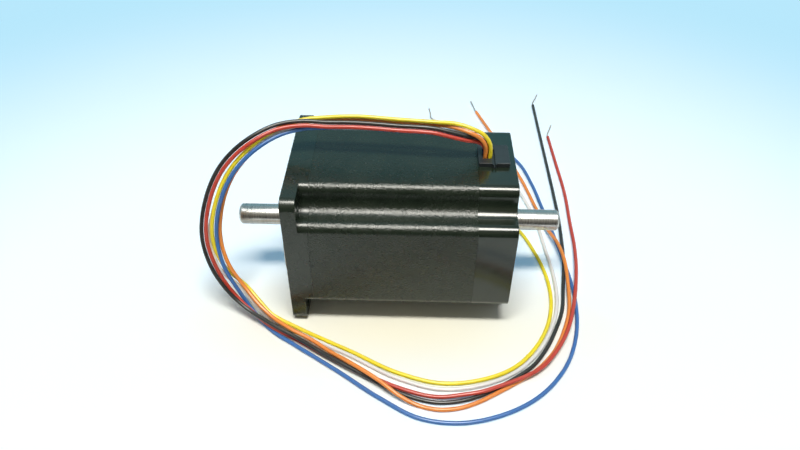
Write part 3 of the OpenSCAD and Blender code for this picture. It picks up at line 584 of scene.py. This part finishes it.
# Black paint: its two shades, and the colour, spacing, size (in spacings) and strength of its dust
PAINT_DARK, PAINT_PALE = (0.009, 0.017, 0.0095), (0.014, 0.023, 0.0135)
DUST = (0.35, 0.36, 0.36)
DUST_PITCH = 7 * MM
DUST_SIZE = (0.02, 0.035)
DUST_SHARE = 0.25
# Thickness of one steel sheet of the stacks, pitch of the turned rings, the X that the turned boss
# ends at, pitch of the wire on the poles, and the angle between two poles
SHEET = 0.5 * MM
RING_PITCH = 0.35 * MM
BOSS_END = -0.2 * MM
TURN_PITCH = 0.8 * MM
POLE = math.radians(45)


def paint(name, peel_mm, peel_depth, sheet_depth, rough, coat):
    """Semi-gloss black paint, with a peel of a given size and depth, faint sheet edges and dust."""
    material, tree, shader = new_material(
        name, Specular_IOR_Level=0.5, Coat_Weight=coat, Coat_Roughness=0.12)
    patches = ranged(tree, speckle(tree, 22), 0.35, 0.65)
    colour = blend_colours(tree, patches, PAINT_DARK, PAINT_PALE)
    cells = node(
        tree, "ShaderNodeTexVoronoi", {}, {"Vector": own_place(tree), "Scale": 1 / DUST_PITCH})
    dust = ranged(tree, cells.outputs["Distance"], *DUST_SIZE, DUST_SHARE, 0)
    colour = blend_colours(tree, dust, colour, DUST)
    gloss = patchy(tree, speckle(tree, 5, detail=5), *rough)
    peel = speckle(tree, peel_mm, detail=2, rough=0.6)
    sheet = calc(tree, "SNAP", split_axes(tree, own_place(tree))[0], SHEET)
    offset = node(tree, "ShaderNodeTexWhiteNoise", {"noise_dimensions": "1D"}, {"W": sheet})
    height = calc(tree, "MULTIPLY_ADD", offset.outputs[0], sheet_depth / peel_depth, peel)
    finish_surface(tree, shader, colour, gloss, height, peel_depth)
    return material


def machined_front(name):
    """Bell paint, with the pilot boss turned bare: fine rings round the shaft axis."""
    material = paint(name, 3, 0.03, 0.0, (0.24, 0.32), 0.15)
    tree = material.node_tree
    painted = tree.nodes["Principled BSDF"]
    bare = node(tree, "ShaderNodeBsdfPrincipled", {}, {"Metallic": 1.0})
    axes = split_axes(tree, own_place(tree))
    rings = waves(tree, axis_distance(tree, axes), RING_PITCH)
    colour = blend_colours(
        tree, patchy(tree, speckle(tree, 6)), (0.50, 0.51, 0.52), (0.57, 0.58, 0.59))
    gloss = patchy(tree, speckle(tree, 1.5), 0.3, 0.38)
    finish_surface(tree, bare, colour, gloss, rings, 0.003)
    turned = calc(tree, "LESS_THAN", axes[0], BOSS_END)
    finish_material(tree, blend_shaders(tree, turned, painted.outputs[0], bare.outputs[0]))
    return material


def ground_steel(name, dark, pale, rough, line_mm, depth_mm):
    """Steel ground round the shaft axis: fine lines across X, a little streaked."""
    material, tree, shader = new_material(name, Metallic=1)
    lines = speckle(tree, line_mm, (1, 60, 60), detail=4)
    streaks = speckle(tree, 1.2, (1, 14, 14), detail=3)
    colour = blend_colours(tree, patchy(tree, streaks), dark, pale)
    finish_surface(tree, shader, colour, patchy(tree, lines, *rough), lines, depth_mm)
    return material


def windings(name):
    """Enamelled copper laid in turns round each pole of the stator, with painted shade in the
    grooves between turns.
    """
    material, tree, shader = new_material(
        name, Metallic=0.75, Coat_Weight=0.6, Coat_Roughness=0.15)
    axes = split_axes(tree, own_place(tree))
    folded = calc(tree, "WRAP", calc(tree, "ARCTAN2", axes[2], axes[1]), POLE / 2, -POLE / 2)
    height = calc(tree, "MULTIPLY", axis_distance(tree, axes), calc(tree, "COSINE", folded))
    turns = waves(tree, height, TURN_PITCH)
    crossings = calc(tree, "MULTIPLY_ADD", speckle(tree, 1.1), 0.8, turns)
    # Colour darker where the turns dip, by the same signal as the bump: painted shade in the
    # grooves between turns
    colour = blend_colours(
        tree, ranged(tree, crossings, -0.6, 1.4), (0.22, 0.07, 0.025), (0.72, 0.28, 0.11))
    gloss = patchy(tree, speckle(tree, 3), 0.2, 0.38)
    finish_surface(tree, shader, colour, gloss, crossings, 0.12)
    return material


def sheets(name, dark, pale, rough):
    """Edges of steel sheets stacked along the shaft."""
    material, tree, shader = new_material(name, Metallic=1)
    seams = waves(tree, split_axes(tree, own_place(tree))[0], SHEET)
    grain = calc(tree, "MULTIPLY_ADD", speckle(tree, 0.6), 0.7, seams)
    colour = blend_colours(tree, ranged(tree, grain, -0.9, 1.3), dark, pale)
    finish_surface(tree, shader, colour, patchy(tree, speckle(tree, 2), *rough), grain, 0.02)
    return material


# Each with its dark and its pale colour, its range of roughness, and the size and depth in mm of
# its grain
BELL = machined_front("bell_paint")
BELL_REAR = paint("rear_bell_paint", 3, 0.03, 0.0, (0.16, 0.24), 0.3)
STACK = paint("stack_paint", 0.9, 0.26, 0.03, (0.23, 0.3), 0.05)
RUBBER = simple_surface(
    "grommet_rubber", (0.016, 0.023, 0.026), (0.024, 0.033, 0.037), (0.34, 0.46), 0.5, 0.015,
    patch_mm=6)
SHAFT = ground_steel(
    "ground_steel", (0.46, 0.46, 0.45), (0.54, 0.54, 0.53), (0.26, 0.32), 0.09, 0.0006)
OXIDE = simple_surface(
    "black_oxide", (0.035, 0.036, 0.04), (0.07, 0.07, 0.075), (0.3, 0.45), 0.25, 0.006, Metallic=1)
SPRING = simple_surface(
    "spring_steel", (0.30, 0.30, 0.31), (0.46, 0.46, 0.47), (0.25, 0.4), 0.3, 0.006, Metallic=1)
RACES = ground_steel(
    "bearing_steel", (0.50, 0.51, 0.52), (0.64, 0.65, 0.66), (0.14, 0.24), 0.07, 0.001)
BALLS = simple_surface(
    "bearing_balls", (0.70, 0.71, 0.72), (0.78, 0.79, 0.80), (0.06, 0.1), 0.8, 0.001, Metallic=1)
CAGE = simple_surface(
    "cage_steel", (0.40, 0.40, 0.38), (0.54, 0.54, 0.51), (0.3, 0.42), 0.5, 0.006, Metallic=1)
SHIELD = ground_steel(
    "shield_steel", (0.46, 0.47, 0.48), (0.58, 0.59, 0.60), (0.28, 0.4), 0.2, 0.003)
NYLON = simple_surface(
    "insulator_nylon", (0.72, 0.70, 0.62), (0.83, 0.82, 0.75), (0.4, 0.55), 0.8, 0.02,
    Subsurface_Weight=0.1, Subsurface_Scale=0.5 * MM)
MAGNET = simple_surface(
    "magnet_metal", (0.13, 0.13, 0.14), (0.22, 0.22, 0.225), (0.4, 0.6), 0.35, 0.02, Metallic=1)
BRASS = simple_surface(
    "spacer_brass", (0.60, 0.47, 0.22), (0.76, 0.62, 0.33), (0.24, 0.36), 0.3, 0.006, Metallic=1)
LAMINATIONS = sheets("lamination_steel", (0.16, 0.165, 0.17), (0.38, 0.39, 0.40), (0.3, 0.45))
ENAMEL = windings("enamelled_copper")

rounded_copy(
    "front_end_bell", "front_bell", BELL, 0.45, on_front_bell, move=wider_rounding)
rounded_copy(
    "rear_end_bell", "rear_bell", BELL_REAR, 0.45, on_rear_bell, move=wider_rounding)
rounded_copy(
    "stator_stack", "lamination_stack", STACK, 0.12, on_skin, move=wider_rounding)
rounded_copy("lead_grommet", "grommet", RUBBER, 0.35, on_pad_outline)
rounded_copy(
    "shaft", "motor_shaft", SHAFT, 0.15, anywhere, body="rotor", sharp=25,
    segments=2)
rounded_copy("tie_screws", "tie_screw_set", OXIDE, 0.2, anywhere)
rounded_copy("tie_washers", "tie_washer_set", SPRING, 0.1, anywhere)

# Materials of the nodes that are shown as they are
KEPT = {
    "front_insulator": NYLON, "rear_insulator": NYLON, "phase_a_coils": ENAMEL,
    "phase_b_coils": ENAMEL, "north_rotor_cups": LAMINATIONS, "south_rotor_cups": LAMINATIONS,
    "rotor_magnets": MAGNET, "rotor_spacers": BRASS, "wave_washer": SPRING}
BEARING = {
    "outer_race": RACES, "inner_race": RACES, "balls": BALLS, "cage": CAGE, "shields": SHIELD}
for end_name in ("front", "rear"):
    for part, material in BEARING.items():
        KEPT[f"{end_name}_bearing_{part}"] = material
for cad_node, material in KEPT.items():
    for material_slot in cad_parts[cad_node].material_slots:
        material_slot.material = material

# The floor's half side in metres, and its height
FLOOR_HALF = 4.0
FLOOR_Z = -43.02 * MM
# The floor fades into the backdrop round a middle in mm, between two distances in metres
BACKDROP = (0.48, 0.81, 0.98)
HAZE_MIDDLE = (65, -120, -43)
HAZE_SPAN = (0.25, 0.62)
# It is cream round a place in mm, to a reach in metres once each axis is scaled, and white beyond
CREAM, WHITE = (0.97, 0.95, 0.78), (0.93, 0.98, 0.97)
CREAM_MIDDLE = (62, -48, -43)
CREAM_SCALE = (0.6, 2, 1)
CREAM_REACH = 0.085
# Beyond the cream the floor glows blue for the camera alone, over a range of that distance: painted
# blue light that fills its shadows
SHADOW_GLOW_BLUE = (0, 0.5, 1)
SHADOW_GLOW_SPAN = (0.07, 0.12)
SHADOW_GLOW_STRENGTH = 0.22
# In reflections alone the floor is painted dark in front of the motor, as if the sheet ended there,
# over a range of Y in metres
DARK_REFLECTION_SPAN = (-0.165, -0.135)
DARK_ROOM = (0.05, 0.045, 0.04)


def floor_material():
    """Plain pale floor: cream in front of the motor, white round it and lost in the backdrop, with
    a painted blue glow in its shadows and a painted dark reflection in front of the motor.
    """
    material, tree, shader = new_material(
        "floor", Specular_IOR_Level=0.2, Emission_Color=(*SHADOW_GLOW_BLUE, 1))
    place = own_place(tree)
    squeezed = vector_calc(tree, "MULTIPLY", place, CREAM_SCALE)[0]
    cream_middle = Vector(CREAM_MIDDLE) * Vector(CREAM_SCALE) * MM
    cream_away = vector_calc(tree, "DISTANCE", squeezed, cream_middle)["Value"]
    colour = blend_colours(tree, ranged(tree, cream_away, 0, CREAM_REACH), CREAM, WHITE)
    finish_surface(tree, shader, colour, patchy(tree, speckle(tree, 30), 0.55, 0.65))
    # Painted blue glow that fills the floor's shadows, seen by the camera alone
    shadow_glow = ranged(tree, cream_away, *SHADOW_GLOW_SPAN, 0, SHADOW_GLOW_STRENGTH)
    shadow_glow = calc(tree, "MULTIPLY", shadow_glow, ray(tree, "Camera"))
    tree.links.new(shadow_glow, shader.inputs["Emission Strength"])

    haze_away = vector_calc(tree, "DISTANCE", place, Vector(HAZE_MIDDLE) * MM)["Value"]
    far = calc(tree, "MULTIPLY", ranged(tree, haze_away, *HAZE_SPAN), ray(tree, "Camera"))
    haze = node(tree, "ShaderNodeEmission", {}, {"Color": (*BACKDROP, 1)})
    surface = blend_shaders(tree, far, shader.outputs[0], haze.outputs[0])
    # Painted dark reflection: glossy rays see the floor dark in front of the motor
    dark_reflection = ranged(tree, split_axes(tree, place)[1], *DARK_REFLECTION_SPAN, 1, 0)
    dark = node(tree, "ShaderNodeEmission", {}, {"Color": (*DARK_ROOM, 1)})
    dark_reflection = calc(tree, "MULTIPLY", dark_reflection, ray(tree, "Glossy"))
    finish_material(tree, blend_shaders(tree, dark_reflection, surface, dark.outputs[0]))
    return material


def add_floor():
    """The floor under the motor."""
    bm = bmesh.new()
    corners = [(-1, -1), (1, -1), (1, 1), (-1, 1)]
    bm.faces.new([bm.verts.new((x * FLOOR_HALF, y * FLOOR_HALF, FLOOR_Z)) for x, y in corners])
    data = bpy.data.meshes.new("floor")
    bm.to_mesh(data)
    bm.free()
    data.materials.append(floor_material())
    floor = bpy.data.objects.new("floor", data)
    SCENE.collection.objects.link(floor)


def add_lamp(name, place_mm, size_mm, watts, colour):
    """A rectangular lamp that points straight down."""
    data = bpy.data.lights.new(name, "AREA")
    data.shape = "RECTANGLE"
    data.size, data.size_y = (s * MM for s in size_mm)
    data.energy = watts
    data.color = colour
    lamp = bpy.data.objects.new(name, data)
    lamp.location = Vector(place_mm) * MM
    SCENE.collection.objects.link(lamp)
    return lamp


# Surroundings: their light, from the front to the back, and their look in reflections, in bands of
# height (the Z of the direction) behind the motor and in front of it
AROUND_FRONT, AROUND_BACK = (0.24, 0.23, 0.20), (0.24, 0.31, 0.38)
AROUND_SPAN = (-0.5, 0.5)
BACK_LOW = (0.28, 0.48, 0.56)
BACK_BANDS = [
    (0.3, 0.55, (0.13, 0.56, 0.70)), (0.55, 0.64, (0.50, 0.60, 0.62)),
    (0.66, 0.78, (0.26, 0.42, 0.47))]
FRONT_SPAN = (-0.3, 0.1)
FRONT_TOP = (0.7, 0.92)
FRONT_BAND = (0.1, 0.35)
FRONT_HIGH = (0.24, 0.22, 0.18)


def add_world():
    """Even light all round, with a darker front and a cool back in reflections."""
    world = bpy.data.worlds.new("studio")
    SCENE.world = world
    world.use_nodes = True
    tree = world.node_tree
    axes = split_axes(tree, node(tree, "ShaderNodeTexCoord").outputs["Generated"])
    behind = BACK_LOW
    for low, high, colour in BACK_BANDS:
        behind = blend_colours(tree, ranged(tree, axes[2], low, high), behind, colour)
    ahead = blend_colours(tree, ranged(tree, axes[2], *FRONT_BAND), DARK_ROOM, FRONT_HIGH)
    front = calc(
        tree, "MULTIPLY", ranged(tree, axes[1], *FRONT_SPAN, 1, 0),
        ranged(tree, axes[2], *FRONT_TOP, 1, 0))
    mirrored = blend_colours(tree, front, behind, ahead)
    around = blend_colours(
        tree, ranged(tree, axes[1], *AROUND_SPAN), AROUND_FRONT, AROUND_BACK)
    plain = blend_colours(tree, ray(tree, "Camera"), around, BACKDROP)
    colour = blend_colours(tree, ray(tree, "Glossy"), plain, mirrored)
    tree.links.new(colour, tree.nodes["Background"].inputs["Color"])


add_floor()
# One soft lamp above the front, whose light and whose bright middle, which only gloss shows, are
# apart, so that shadows and highlights each lie as in the photograph
light = add_lamp(
    "softbox_light", place_mm=(60, -450, 2000), size_mm=(1000, 300), watts=38.5,
    colour=(1.0, 0.97, 0.92))
light.visible_glossy = False
middle = add_lamp(
    "softbox", place_mm=(150, -440, 2000), size_mm=(900, 200), watts=38.5,
    colour=(1.0, 0.97, 0.92))
middle.visible_diffuse = False
# Its wide and weaker rim, which only gloss shows
rim = add_lamp(
    "softbox_rim", place_mm=(80, -650, 2010), size_mm=(900, 820), watts=57,
    colour=(1.0, 0.96, 0.87))
rim.visible_diffuse = False
add_world()
